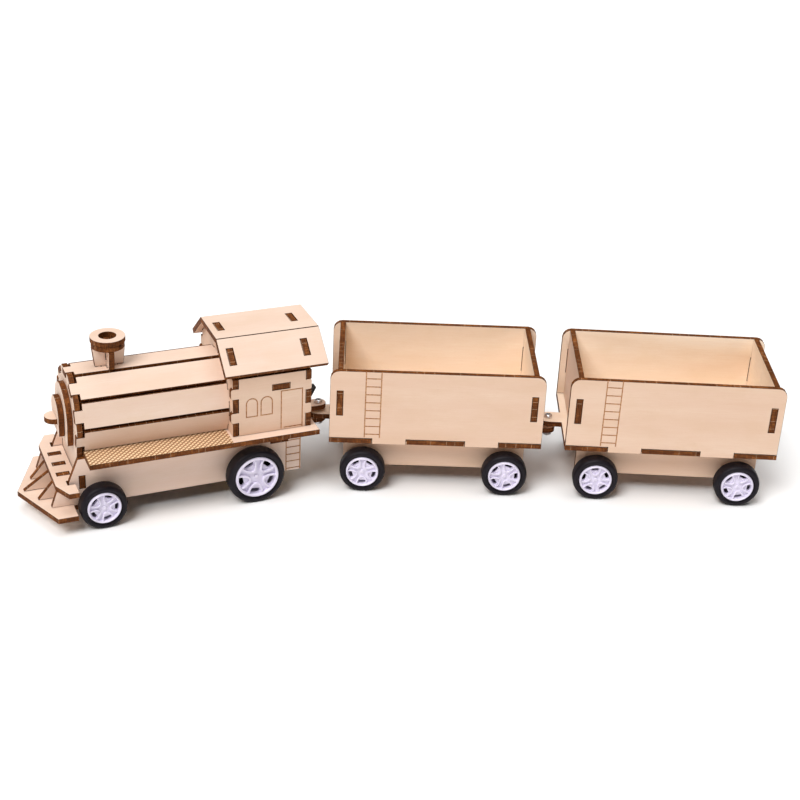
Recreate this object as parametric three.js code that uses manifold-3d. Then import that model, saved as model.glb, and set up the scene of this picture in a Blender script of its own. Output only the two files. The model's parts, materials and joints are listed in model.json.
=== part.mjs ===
// Laser-cut plywood train: a steam locomotive and two open wagons on rubber-tyred wheels.
// Millimetres, +Z up. The locomotive's nose points to -X and its left side to -Y.
// Every flat piece is one plywood sheet; tabs of one sheet sit in slots of the next.

import * as THREE from 'three';
import { mergeVertices } from 'three/addons/utils/BufferGeometryUtils.js';
import Module from 'manifold-3d';

// ---- driving dimensions -------------------------------------------------------------

const PLY = 3.5;            // plywood thickness
const GAP = 0.3;            // clearance between sheets that touch
const SLOT_PLAY = 0.5;      // clearance on each side of a tab in its slot

// Wheels and axles
const SMALL_WHEEL_R = 15;
const LARGE_WHEEL_R = 19;
const TYRE_WIDTH = 10;
const HUB_FACE = 41;        // middle of the vehicle to the outer face of a hub
const TYRE_FACE = 40;       // middle of the vehicle to the outer face of a tyre
const AXLE_R = 1;
const AXLE_HOLE_R = 1.1;

// Bolted couplings
const TONGUE_HALF = 7.3;    // half width of a wagon's coupling tongue, and the radius of its end
const EAR_HALF = 4.9;       // the same of the ears it is clamped to
const BOLT_R = 1.5;
const BOLT_HOLE_R = 1.7;
const BOLT_HEAD_R = 3;
const BOLT_HEAD_H = 1.8;
const NUT_R = 3.1;
const NUT_H = 2.4;

// Wagon, from its middle
const WAGON_HALF_L = 69.5;
const WAGON_HALF_W = 39.2;
const WAGON_TOP = 88.5;
const WAGON_FLOOR_TOP = 39.8;
const WAGON_PIVOT = 77.9;   // middle of the wagon to each coupling bolt
const WAGON_AXLE = 47;
const WAGON_CORNER_R = 6;
const SIDE_TAB = [19.3, 41.4];  // tabs under a side panel, from the middle
const END_WALL_X = 63;      // middle plane of an end wall
const END_TAB_Z = [56.8, 74];
const WAGON_FRAME_HALF_L = 60;
const WAGON_FRAME_BOTTOM = 14;
const TIE_X = 54;
const TIE_Z = 29.8;
const TIE_TAB = 4.6;

// Frame sides, shared by all three vehicles
const FRAME_HALF_W = 27;
const BEARING_LOBE_R = 6.5;

// Locomotive, from the middle of its rear axle
const LOCO_WHEELBASE = 99.6;
const LOCO_PIVOT = 55.7;
const BOARD_FRONT = -108.1;
const BOARD_REAR = 41.1;
const BOARD_HALF_W = 43;
const BOARD_TOP = 48.9;
const FRAME_REAR = 34;
const FRAME_BOTTOM = 12.5;

// Boiler: seven of the ten sides of a regular prism
const BOILER_SIDES = 10;
const BOILER_AXIS_Z = 65.8;
const BOILER_APOTHEM = 28.6; // to the outer face of a plank
const PLANK_WIDTH = 16.1;
const PLANK_TAB = 8;
const PLANK_FRONT = -107.4;
const PLANK_TAB_FRONT = -112.6;
const FORMER_FRONT = -112;

// Smokebox front
const RING = { r: 18.6, z: 66.7, bottom: 49.5, foot: 16.2 };
const DOOR = { r: 11.3, z: 66, bottom: 53.8, foot: 10.1 };
const LAMP_HALF = 6.2;
const LAMP_FRONT = -126.6;
const LAMP_Z = 60.7;

// Cab
const CAB_HALF_W = 35.8;
const CAB_FRONT = -14.9;
const CAB_REAR = 37.5;
const CAB_WALL_TOP = 89.3;
const CAB_TEETH = [[49.2, 58.3], [66, 75.3], [83, 89.3]];
const CAB_TIE_X = [11.3, 23];
const CAB_TIE_Z = 78.6;

// Roof
const ROOF_FRONT = -20;
const ROOF_REAR = 48.2;
const ROOF_RIDGE_Y = 17.6;
const ROOF_RIDGE_Z = 110.5;
const ROOF_EAVE_Y = 37.8;
const ROOF_EAVE_Z = 93.2;
const ROOF_TOP_TAB = 6;
const ROOF_SIDE_TAB = [7.7, 18.9];

// Chimney
const CHIMNEY_X = -84.4;
const CHIMNEY_TOP = 114.2;
const CHIMNEY_R = 11;
const CHIMNEY_HOLE_R = 5.6;
const CHIMNEY_FOOT = 9;
const CHIMNEY_TAB = 5;

// Pilot (cowcatcher)
const PILOT_TOP_Z = 29;
const PILOT_FOOT_Z = 13.4;
const RIB_PITCH = 13.5;

// Works inside
const SHELF_Z = 34.8;
const SHELF_TAB = [13.3, 25];
const UPPER_EAR_Z = 41.6;
const LOWER_EAR_Z = 32.4;
const SWITCH_Y = -21;
const SWITCH_Z = 65.4;

// How the train stands: the locomotive is turned at its coupling, the last wagon slightly
const LOCO_YAW = THREE.MathUtils.degToRad(22);
const WAGON_2_YAW = THREE.MathUtils.degToRad(-1.7);

// ---- materials ----------------------------------------------------------------------

const finish = (color, roughness, metalness) =>
  new THREE.MeshStandardMaterial({ color, roughness, metalness });
const PLYWOOD = finish(0xe8cba8, 0.7, 0);
const WHEEL = finish(0x2a282b, 0.75, 0);
const STEEL = finish(0xb8bcc2, 0.3, 1);
const BLACK_PLASTIC = finish(0x141416, 0.4, 0);
const YELLOW_PLASTIC = finish(0xe9c02c, 0.5, 0);

// ---- solids -------------------------------------------------------------------------

const wasm = await Module();
wasm.setup();

function toSolid(geometry) {
  const bare = geometry.clone();
  bare.deleteAttribute('normal');
  bare.deleteAttribute('uv');
  const merged = mergeVertices(bare, 1e-4);
  return new wasm.Manifold(new wasm.Mesh({
    numProp: 3,
    vertProperties: new Float32Array(merged.attributes.position.array),
    triVerts: new Uint32Array(merged.index.array),
  }));
}

function toGeometry(solid) {
  const mesh = solid.getMesh();
  const geometry = new THREE.BufferGeometry();
  geometry.setAttribute('position', new THREE.BufferAttribute(mesh.vertProperties, 3));
  geometry.setIndex(new THREE.BufferAttribute(mesh.triVerts, 1));
  return geometry;
}

function join(...geometries) {
  return toGeometry(geometries.map(toSolid).reduce((all, next) => all.add(next)));
}

function cut(geometry, ...tools) {
  return toGeometry(tools.map(toSolid).reduce((rest, tool) => rest.subtract(tool), toSolid(geometry)));
}

// ---- outlines -----------------------------------------------------------------------

const rectangle = (x0, y0, x1, y1) => [[x0, y0], [x1, y0], [x1, y1], [x0, y1]];

const outline = (points, holes = []) => ({ points, holes });

function arc(x, y, r, from, to, steps) {
  return Array.from({ length: steps + 1 }, (_, i) => {
    const a = THREE.MathUtils.degToRad(from + (to - from) * i / steps);
    return [x + r * Math.cos(a), y + r * Math.sin(a)];
  });
}

const circle = (x, y, r, sides = 16) => arc(x, y, r, 0, 360, sides).slice(0, -1);

const mirrored = (points) => points.map(([x, y]) => [-x, y]).reverse();

// ---- plates: an outline of thickness PLY, placed by its lower or near face -----------

function prism(points, thickness) {
  const shape = new THREE.Shape(points.map(([x, y]) => new THREE.Vector2(x, y)));
  return new THREE.ExtrudeGeometry(shape, { depth: thickness, bevelEnabled: false });
}

function plate({ points, holes }, thickness = PLY) {
  const blank = prism(points, thickness);
  if (holes.length === 0) return blank;
  return cut(blank, ...holes.map((hole) => prism(hole, thickness + 2).translate(0, 0, -1)));
}

// Outline in X and Y, lying flat with its underside at z
const flat = (shape, z, thickness = PLY) => plate(shape, thickness).translate(0, 0, z);

// Outline in X and Z, standing lengthwise between y and y + thickness
const lengthwise = (shape, y, thickness = PLY) =>
  plate(shape, thickness).rotateX(Math.PI / 2).translate(0, y + thickness, 0);

// Outline in Y and Z, standing crosswise between x and x + thickness
const crosswise = (shape, x, thickness = PLY) =>
  plate(shape, thickness)
    .applyMatrix4(new THREE.Matrix4().makeBasis(
      new THREE.Vector3(0, 1, 0), new THREE.Vector3(0, 0, 1), new THREE.Vector3(1, 0, 0)))
    .translate(x, 0, 0);

function block(x0, x1, y0, y1, z0, z1) {
  return new THREE.BoxGeometry(x1 - x0, y1 - y0, z1 - z0)
    .translate((x0 + x1) / 2, (y0 + y1) / 2, (z0 + z1) / 2);
}

// Upright cylinder from z0 to z1
const post = (x, y, r, z0, z1, sides = 16) =>
  new THREE.CylinderGeometry(r, r, z1 - z0, sides).rotateX(Math.PI / 2).translate(x, y, (z0 + z1) / 2);

// ---- wheels -------------------------------------------------------------------------

// One wheelset: axle, two hubs with five windows each, and two tyres, about the Y axis
function wheelset(radius) {
  const sides = 28;
  const rim = radius * 0.7;
  const inner = TYRE_FACE - TYRE_WIDTH;
  const shoulder = 1.5;
  const profile = [
    [rim, inner], [radius - shoulder, inner], [radius, inner + shoulder],
    [radius, TYRE_FACE - shoulder], [radius - shoulder, TYRE_FACE], [rim, TYRE_FACE], [rim, inner],
  ].map(([r, y]) => new THREE.Vector2(r, y));
  const tyre = new THREE.LatheGeometry(profile, sides);
  const windows = Array.from({ length: 5 }, (_, i) => {
    const middle = 90 + 72 * i;
    return [
      ...arc(0, 0, rim * 0.78, middle + 17, middle - 17, 2),
      ...arc(0, 0, rim * 0.42, middle - 14, middle + 14, 1),
    ];
  });
  const web = plate(outline(circle(0, 0, rim + 0.4, sides), windows), HUB_FACE - inner - 5)
    .rotateX(-Math.PI / 2)
    .translate(0, inner + 5, 0);
  const boss = new THREE.CylinderGeometry(3, 3, 6, 12).translate(0, inner + 3, 0);
  const axle = new THREE.CylinderGeometry(AXLE_R, AXLE_R, 2 * (inner + 4), 16);
  const half = join(tyre, web, boss);
  const other = half.clone().rotateX(Math.PI);
  return join(half, other, axle);
}

// ---- couplings ----------------------------------------------------------------------

// Rounded ends about a bolt: a tongue points forwards, an ear to the rear
const tongueEnd = (pivot) => arc(pivot, 0, TONGUE_HALF, 90, 270, 8);
const earEnd = (pivot) => arc(pivot, 0, EAR_HALF, -90, 90, 8);

const boltHole = (x) => circle(x, 0, BOLT_HOLE_R, 12);

// Bolt with its nut, clamping from z0 (under the lower ear) to z1 (on the upper sheet)
function bolt(z0, z1) {
  return join(
    post(0, 0, BOLT_R, z0 - NUT_H - 0.8, z1 + 0.5, 12),
    post(0, 0, BOLT_HEAD_R, z1 + GAP, z1 + GAP + BOLT_HEAD_H, 16),
    post(0, 0, NUT_R, z0 - GAP - NUT_H, z0 - GAP, 6));
}

// ---- wagon --------------------------------------------------------------------------

function wagonFloor() {
  const notch = floorNotchDepth();
  const [a, b] = SIDE_TAB.map((x, i) => x + (i ? SLOT_PLAY : -SLOT_PLAY));
  const near = [[-WAGON_HALF_L, -WAGON_HALF_W]];
  for (const [x0, x1] of [[-b, -a], [a, b]]) {
    near.push([x0, -WAGON_HALF_W], [x0, -notch], [x1, -notch], [x1, -WAGON_HALF_W]);
  }
  near.push([WAGON_HALF_L, -WAGON_HALF_W]);
  const far = near.map(([x, y]) => [x, -y]).reverse();
  const tongue = [[-WAGON_HALF_L, TONGUE_HALF], ...tongueEnd(-WAGON_PIVOT), [-WAGON_HALF_L, -TONGUE_HALF]];
  return flat(outline([...near, ...far, ...tongue], [boltHole(-WAGON_PIVOT)]), WAGON_FLOOR_TOP - PLY);
}

// How far from the middle the floor reaches where a side panel's tab passes it
function floorNotchDepth() {
  return WAGON_HALF_W - PLY - GAP;
}

function wagonSide() {
  const bottom = WAGON_FLOOR_TOP + GAP;
  const tab = WAGON_FLOOR_TOP - PLY - GAP;
  const [a, b] = SIDE_TAB;
  const r = WAGON_CORNER_R;
  const right = WAGON_HALF_L;
  const points = [
    [-right, bottom], [-b, bottom], [-b, tab], [-a, tab], [-a, bottom],
    [a, bottom], [a, tab], [b, tab], [b, bottom], [right, bottom],
    ...arc(right - r, WAGON_TOP - r, r, 0, 90, 4),
    ...arc(-right + r, WAGON_TOP - r, r, 90, 180, 4),
  ];
  const half = PLY / 2 + GAP;
  const slots = [-END_WALL_X, END_WALL_X].map((x) =>
    rectangle(x - half, END_TAB_Z[0] - GAP, x + half, END_TAB_Z[1] + GAP));
  return outline(points, slots);
}

function wagonEnd() {
  const inside = WAGON_HALF_W - PLY - GAP;
  const right = [
    [inside, WAGON_FLOOR_TOP + GAP], [inside, END_TAB_Z[0]], [WAGON_HALF_W, END_TAB_Z[0]],
    [WAGON_HALF_W, END_TAB_Z[1]], [inside, END_TAB_Z[1]], [inside, WAGON_TOP],
  ];
  return outline([...right, ...mirrored(right)]);
}

// Frame side with a round lobe under each axle
function wagonFrameSide() {
  const lobe = (x) => [
    ...arc(x, SMALL_WHEEL_R, BEARING_LOBE_R, 189, 351, 8),
  ];
  const top = WAGON_FLOOR_TOP - PLY - GAP;
  const points = [
    [-WAGON_FRAME_HALF_L, WAGON_FRAME_BOTTOM], ...lobe(-WAGON_AXLE), ...lobe(WAGON_AXLE),
    [WAGON_FRAME_HALF_L, WAGON_FRAME_BOTTOM], [WAGON_FRAME_HALF_L, top], [-WAGON_FRAME_HALF_L, top],
  ];
  const holes = [-WAGON_AXLE, WAGON_AXLE].map((x) => circle(x, SMALL_WHEEL_R, AXLE_HOLE_R));
  const half = TIE_TAB / 2 + GAP;
  for (const x of [-TIE_X, TIE_X]) {
    holes.push(rectangle(x - half, TIE_Z - GAP, x + half, TIE_Z + PLY + GAP));
  }
  return outline(points, holes);
}

// Sheet between the frame sides; with an ear it reaches under the next wagon's tongue
function wagonTie(hasEar) {
  const inside = FRAME_HALF_W - PLY - GAP;
  const half = TIE_TAB / 2;
  const near = [
    [46, -inside], [TIE_X - half, -inside], [TIE_X - half, -FRAME_HALF_W],
    [TIE_X + half, -FRAME_HALF_W], [TIE_X + half, -inside], [59, -inside],
  ];
  const far = near.map(([x, y]) => [x, -y]).reverse();
  if (!hasEar) return outline([...near, ...far]);
  const ear = [[63, -EAR_HALF], ...earEnd(WAGON_PIVOT), [63, EAR_HALF]];
  return outline([...near, ...ear, ...far], [boltHole(WAGON_PIVOT)]);
}

function wagon(name, hasEar) {
  const group = new THREE.Group();
  const add = (part, geometry, material = PLYWOOD) => addPart(group, `${name}_${part}`, geometry, material);
  add('floor', wagonFloor());
  add('side_left', lengthwise(wagonSide(), -WAGON_HALF_W));
  add('side_right', lengthwise(wagonSide(), WAGON_HALF_W - PLY));
  add('end_front', crosswise(wagonEnd(), -END_WALL_X - PLY / 2));
  add('end_rear', crosswise(wagonEnd(), END_WALL_X - PLY / 2));
  add('frame_left', lengthwise(wagonFrameSide(), -FRAME_HALF_W));
  add('frame_right', lengthwise(wagonFrameSide(), FRAME_HALF_W - PLY));
  add(hasEar ? 'coupling_ear' : 'cross_tie', flat(wagonTie(hasEar), TIE_Z));
  for (const [end, x] of [['front', -WAGON_AXLE], ['rear', WAGON_AXLE]]) {
    add(`wheelset_${end}`, wheelset(SMALL_WHEEL_R), WHEEL).position.set(x, 0, SMALL_WHEEL_R);
  }
  return group;
}

function addPart(group, name, geometry, material) {
  const mesh = new THREE.Mesh(geometry, material);
  mesh.name = name;
  group.add(mesh);
  return mesh;
}

// ---- locomotive: frame and pilot ----------------------------------------------------

function locoFrameSide() {
  const top = BOARD_TOP - PLY - GAP;
  const foot = PILOT_FOOT_Z + GAP;
  const under = PILOT_TOP_Z - PLY - GAP;
  const points = [
    [-129.9, foot], [-113.6, foot], [-113.6, FRAME_BOTTOM],
    ...arc(-LOCO_WHEELBASE, SMALL_WHEEL_R, BEARING_LOBE_R, 203, 337, 8),
    [FRAME_REAR, FRAME_BOTTOM], [FRAME_REAR, top], [-112.2, top], [-118.3, 30],
    [-118.3, under], [-124.9, under], [-126.3, 24],
  ];
  const holes = [
    circle(-LOCO_WHEELBASE, SMALL_WHEEL_R, AXLE_HOLE_R),
    circle(0, LARGE_WHEEL_R, AXLE_HOLE_R),
    rectangle(FORMER_FRONT - GAP, 24, FORMER_FRONT + PLY + SLOT_PLAY, 33.5),
    rectangle(SHELF_TAB[0] - GAP, SHELF_Z - GAP, SHELF_TAB[1] + GAP, SHELF_Z + PLY + GAP),
  ];
  return outline(points, holes);
}

// Upper pilot sheet: notched around both frame sides, slotted for the three ribs
function pilotTop() {
  const rear = FORMER_FRONT - GAP;
  const [notchIn, notchOut] = [FRAME_HALF_W - PLY - SLOT_PLAY, FRAME_HALF_W + 1.5];
  const side = [
    [-126.9, -27.4], [-121, -39.7], [-114.5, -39.7], [-114.5, -notchOut], [-119.5, -notchOut],
    [-119.5, -notchIn], [rear, -notchIn],
  ];
  const far = side.map(([x, y]) => [x, -y]).reverse();
  const half = PLY / 2 + SLOT_PLAY;
  const slots = [-RIB_PITCH, 0, RIB_PITCH].map((y) => rectangle(-123.6, y - half, -115.4, y + half));
  return outline([...side, ...far], slots);
}

function pilotBottom() {
  const rear = -113.9;
  const side = [[-146.5, 0], [-128.9, -41.2], [-116.2, -41.2], [-116.2, -28], [rear, -28]];
  const far = side.slice(1).map(([x, y]) => [x, -y]).reverse();
  return outline([...side, ...far]);
}

// Rib between the two pilot sheets; its top tab fills a slot of the upper one
function pilotRib(nose) {
  const foot = PILOT_FOOT_Z + GAP;
  const under = PILOT_TOP_Z - PLY - GAP;
  return outline([
    [nose, foot], [-113, foot], [-113, under], [-115.9, under], [-115.9, PILOT_TOP_Z],
    [-123.1, PILOT_TOP_Z], [-123.1, under], [-126.2, under],
  ]);
}

function addPilot(group) {
  addPart(group, 'pilot_plate_upper', flat(pilotTop(), PILOT_TOP_Z - PLY), PLYWOOD);
  addPart(group, 'pilot_plate_lower', flat(pilotBottom(), PILOT_FOOT_Z - PLY), PLYWOOD);
  const ribs = [['left', -RIB_PITCH, -136], ['middle', 0, -142.6], ['right', RIB_PITCH, -136]];
  for (const [side, y, nose] of ribs) {
    addPart(group, `pilot_rib_${side}`, lengthwise(pilotRib(nose), y - PLY / 2), PLYWOOD);
  }
}

// ---- locomotive: boiler -------------------------------------------------------------

// Plank k of the boiler faces this way, from straight up (k = 0) round to the near side
const plankAngle = (k) => k * 2 * Math.PI / BOILER_SIDES;

const PLANKS = [
  ['top', 0], ['upper_left', 1], ['side_left', 2], ['lower_left', 3],
  ['upper_right', -1], ['side_right', -2], ['lower_right', -3],
];

function plank() {
  const half = PLANK_WIDTH / 2;
  const tab = PLANK_TAB / 2;
  const rear = CAB_FRONT - GAP;
  const rearTab = CAB_FRONT + PLY;
  return [
    [PLANK_TAB_FRONT, -tab], [PLANK_FRONT, -tab], [PLANK_FRONT, -half], [rear, -half],
    [rear, -tab], [rearTab, -tab], [rearTab, tab], [rear, tab], [rear, half],
    [PLANK_FRONT, half], [PLANK_FRONT, tab], [PLANK_TAB_FRONT, tab],
  ];
}

function onBoiler(geometry, k) {
  return geometry
    .translate(0, 0, BOILER_APOTHEM - PLY)
    .rotateX(plankAngle(k))
    .translate(0, 0, BOILER_AXIS_Z);
}

// Block that clears one plank tab through a crosswise sheet
function plankTabTool(k, x0, x1, top = PLY + GAP) {
  const half = PLANK_TAB / 2 + GAP;
  return onBoiler(block(x0, x1, -half, half, -GAP, top), k);
}

function frontFormer() {
  const corner = BOILER_APOTHEM / Math.cos(Math.PI / BOILER_SIDES);
  const step = 360 / BOILER_SIDES;
  // from the lower right corner of the prism over the top to the lower left one
  const round = arc(0, BOILER_AXIS_Z, corner, 90 - 3.5 * step, 90 + 3.5 * step, 7);
  const shoulder = round[0][0];
  const inside = FRAME_HALF_W - PLY - GAP;
  const shelf = BOARD_TOP - PLY;
  const right = [
    [inside, 20], [inside, 24.5], [FRAME_HALF_W, 24.5], [FRAME_HALF_W, 33],
    [inside, 33], [inside, shelf], [shoulder, shelf],
  ];
  const half = LAMP_HALF + GAP;
  const lampSlot = rectangle(-half, LAMP_Z - GAP, half, LAMP_Z + PLY + GAP);
  const blank = crosswise(outline([...right, ...round, ...mirrored(right)], [lampSlot]), FORMER_FRONT);
  return cut(blank, ...PLANKS.map(([, k]) => plankTabTool(k, FORMER_FRONT - 1, PLANK_FRONT + 1, 2 * PLY)));
}

// Arched sheet of the smokebox front: round above, slightly drawn in to a flat foot
function archSheet({ r, z, bottom, foot }) {
  const half = LAMP_HALF + GAP;
  const lampSlot = rectangle(-half, LAMP_Z - GAP, half, LAMP_Z + PLY + GAP);
  return outline([[-foot, bottom], [foot, bottom], ...arc(0, z, r, -20, 200, 22)], [lampSlot]);
}

function lampPeg() {
  const round = arc(LAMP_FRONT + LAMP_HALF, 0, LAMP_HALF, 90, 270, 10);
  return outline([...round, [FORMER_FRONT + PLY, -LAMP_HALF], [FORMER_FRONT + PLY, LAMP_HALF]]);
}

function addBoiler(group) {
  addPart(group, 'boiler_front_former', frontFormer(), PLYWOOD);
  for (const [name, k] of PLANKS) {
    const sheet = plate(outline(plank()));
    const fitted = k === 0 ? cut(sheet, ...chimneySlots(-1, PLY + 1)) : sheet;
    addPart(group, `boiler_plank_${name}`, onBoiler(fitted, k), PLYWOOD);
  }
  const ringX = FORMER_FRONT - GAP - PLY;
  addPart(group, 'smokebox_ring', crosswise(archSheet(RING), ringX), PLYWOOD);
  addPart(group, 'smokebox_door', crosswise(archSheet(DOOR), ringX - GAP - PLY), PLYWOOD);
  addPart(group, 'headlamp_peg', flat(lampPeg(), LAMP_Z), PLYWOOD);
}

// ---- locomotive: chimney ------------------------------------------------------------

// Two crossed slots through the top plank for the feet of the chimney sheets
function chimneySlots(z0, z1) {
  const long = CHIMNEY_TAB + GAP;
  const wide = PLY / 2 + GAP;
  return [
    block(CHIMNEY_X - long, CHIMNEY_X + long, -wide, wide, z0, z1),
    block(CHIMNEY_X - wide, CHIMNEY_X + wide, -long, long, z0, z1),
  ];
}

// One of two crossed sheets, tapering to its foot; half of its middle is slotted
function chimneySheet(slotFromTop) {
  const under = CHIMNEY_TOP - 2 * PLY - GAP;
  const foot = BOILER_AXIS_Z + BOILER_APOTHEM + GAP;
  const tabBottom = foot - GAP - PLY;
  const middle = (under + tabBottom) / 2;
  const play = PLY / 2 + GAP;
  const wide = CHIMNEY_R - 0.6;
  const keyTop = CHIMNEY_TOP - PLY;
  const key = CHIMNEY_HOLE_R - 0.6;
  if (slotFromTop) {
    return outline([
      [-CHIMNEY_TAB, tabBottom], [CHIMNEY_TAB, tabBottom], [CHIMNEY_TAB, foot], [CHIMNEY_FOOT, foot],
      [wide, under], [key, under], [key, keyTop], [play, keyTop], [play, middle - GAP / 2],
      [-play, middle - GAP / 2], [-play, keyTop], [-key, keyTop], [-key, under], [-wide, under],
      [-CHIMNEY_FOOT, foot], [-CHIMNEY_TAB, foot],
    ]);
  }
  return outline([
    [-CHIMNEY_TAB, tabBottom], [-play, tabBottom], [-play, middle + GAP / 2], [play, middle + GAP / 2],
    [play, tabBottom], [CHIMNEY_TAB, tabBottom], [CHIMNEY_TAB, foot], [CHIMNEY_FOOT, foot],
    [wide, under], [key, under], [key, keyTop], [-key, keyTop], [-key, under], [-wide, under],
    [-CHIMNEY_FOOT, foot], [-CHIMNEY_TAB, foot],
  ]);
}

// Cap of two glued rings, the lower one slightly smaller
function chimneyCap() {
  const ring = (r, z) =>
    flat(outline(circle(CHIMNEY_X, 0, r, 28), [circle(CHIMNEY_X, 0, CHIMNEY_HOLE_R, 20)]), z);
  return join(ring(CHIMNEY_R, CHIMNEY_TOP - PLY), ring(CHIMNEY_R - 0.6, CHIMNEY_TOP - 2 * PLY));
}

function addChimney(group) {
  const lengthSheet = lengthwise(chimneySheet(true), -PLY / 2).translate(CHIMNEY_X, 0, 0);
  addPart(group, 'chimney_sheet_lengthwise', lengthSheet, PLYWOOD);
  addPart(group, 'chimney_sheet_crosswise', crosswise(chimneySheet(false), CHIMNEY_X - PLY / 2), PLYWOOD);
  addPart(group, 'chimney_cap', chimneyCap(), PLYWOOD);
}

// ---- locomotive: cab and roof -------------------------------------------------------

const roofSlope = Math.atan2(ROOF_RIDGE_Z - ROOF_EAVE_Z, ROOF_EAVE_Y - ROOF_RIDGE_Y);
const roofLength = Math.hypot(ROOF_RIDGE_Z - ROOF_EAVE_Z, ROOF_EAVE_Y - ROOF_RIDGE_Y);

// Point of the roof's right slope, s down from the ridge and depth under its outer face
function roofPoint(s, depth) {
  return [
    ROOF_RIDGE_Y + s * Math.cos(roofSlope) - depth * Math.sin(roofSlope),
    ROOF_RIDGE_Z - s * Math.sin(roofSlope) - depth * Math.cos(roofSlope),
  ];
}

// Where the bisector of ridge and slope meets a face at this depth, measured down the slope
const mitre = (depth) => depth * Math.tan(roofSlope / 2);

function roofTop() {
  const y0 = ROOF_RIDGE_Y - GAP / 2;
  const y1 = ROOF_RIDGE_Y - GAP / 2 - mitre(PLY);
  const z0 = ROOF_RIDGE_Z;
  const profile = outline([[-y1, z0 - PLY], [y1, z0 - PLY], [y0, z0], [-y0, z0]]);
  const sheet = crosswise(profile, ROOF_FRONT, ROOF_REAR - ROOF_FRONT);
  const half = ROOF_TOP_TAB + GAP;
  const slots = cabWallPlaces.map((x) =>
    block(x - SLOT_PLAY, x + PLY + SLOT_PLAY, -half, half, z0 - 2 * PLY, z0 + PLY));
  return cut(sheet, ...slots);
}

function roofSide(sign) {
  const profile = outline([
    roofPoint(GAP, 0), roofPoint(mitre(PLY) + GAP, PLY),
    roofPoint(roofLength, PLY), roofPoint(roofLength, 0),
  ]);
  const sheet = crosswise(profile, ROOF_FRONT, ROOF_REAR - ROOF_FRONT);
  const [s0, s1] = ROOF_SIDE_TAB;
  const slots = cabWallPlaces.map((x) => {
    const tool = [
      roofPoint(s0 - GAP, -1), roofPoint(s0 - GAP, PLY + 1),
      roofPoint(s1 + GAP, PLY + 1), roofPoint(s1 + GAP, -1),
    ];
    return crosswise(outline(tool), x - SLOT_PLAY, PLY + 2 * SLOT_PLAY);
  });
  const right = cut(sheet, ...slots);
  return sign > 0 ? right : toGeometry(toSolid(right).mirror([0, 1, 0]));
}

// Front faces of the two crosswise cab walls
const cabWallPlaces = [CAB_FRONT, CAB_REAR - PLY];

function cabWall(holes) {
  const inside = CAB_HALF_W - PLY - GAP;
  const right = [];
  for (const [z0, z1] of CAB_TEETH) {
    right.push([inside, z0], [CAB_HALF_W, z0], [CAB_HALF_W, z1], [inside, z1]);
  }
  right.shift();
  const under = PLY + GAP;
  const [s0, s1] = ROOF_SIDE_TAB;
  const ridgeY = ROOF_RIDGE_Y - mitre(under);
  const slopeZ = roofPoint(s1, under)[1] - (inside - roofPoint(s1, under)[0]) * Math.tan(roofSlope);
  right.push(
    [inside, slopeZ], roofPoint(s1, under), roofPoint(s1, 0), roofPoint(s0, 0), roofPoint(s0, under),
    [ridgeY, ROOF_RIDGE_Z - under], [ROOF_TOP_TAB, ROOF_RIDGE_Z - under], [ROOF_TOP_TAB, ROOF_RIDGE_Z]);
  return outline([...right, ...mirrored(right)], holes);
}

function cabSide() {
  const r = 1.2;
  const front = CAB_FRONT - 1.2;
  const rear = CAB_REAR + 0.1;
  const frontIn = CAB_FRONT + PLY + SLOT_PLAY;
  const rearIn = CAB_REAR - PLY - SLOT_PLAY;
  const [t0, t1, t2] = CAB_TEETH;
  const rearFinger = (z0, z1) => [
    [rearIn, z0], ...arc(rear - r, z0 + r, r, -90, 0, 2),
    ...arc(rear - r, z1 - r, r, 0, 90, 2), [rearIn, z1],
  ];
  const frontFinger = (z0, z1) => [
    [frontIn, z1], ...arc(front + r, z1 - r, r, 90, 180, 2),
    ...arc(front + r, z0 + r, r, 180, 270, 2), [frontIn, z0],
  ];
  const low = [t0[1] + GAP, t1[0] - GAP];
  const high = [t1[1] + GAP, t2[0] - GAP];
  const rearEdge = [
    [rearIn, t0[0]], ...rearFinger(...low), ...rearFinger(...high), [rearIn, CAB_WALL_TOP],
  ];
  const frontEdge = [
    [frontIn, CAB_WALL_TOP], ...frontFinger(...high), ...frontFinger(...low), [frontIn, t0[0]],
  ];
  const slot = rectangle(
    CAB_TIE_X[0] - GAP, CAB_TIE_Z - SLOT_PLAY, CAB_TIE_X[1] + GAP, CAB_TIE_Z + PLY + SLOT_PLAY);
  return outline([...rearEdge, ...frontEdge], [slot]);
}

function addCab(group) {
  const tabSlots = PLANKS.map(([, k]) => plankTabTool(k, CAB_FRONT - 1, CAB_FRONT + PLY + 1));
  addPart(group, 'cab_wall_front', cut(crosswise(cabWall(), CAB_FRONT), ...tabSlots), PLYWOOD);
  const switchHole = rectangle(SWITCH_Y - 4.6, SWITCH_Z - 6.9, SWITCH_Y + 4.6, SWITCH_Z + 6.9);
  addPart(group, 'cab_wall_rear', crosswise(cabWall([switchHole]), CAB_REAR - PLY), PLYWOOD);
  addPart(group, 'cab_side_left', lengthwise(cabSide(), -CAB_HALF_W), PLYWOOD);
  addPart(group, 'cab_side_right', lengthwise(cabSide(), CAB_HALF_W - PLY), PLYWOOD);
  addPart(group, 'roof_top', roofTop(), PLYWOOD);
  addPart(group, 'roof_side_left', roofSide(-1), PLYWOOD);
  addPart(group, 'roof_side_right', roofSide(1), PLYWOOD);
}

// ---- locomotive: works --------------------------------------------------------------

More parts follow.
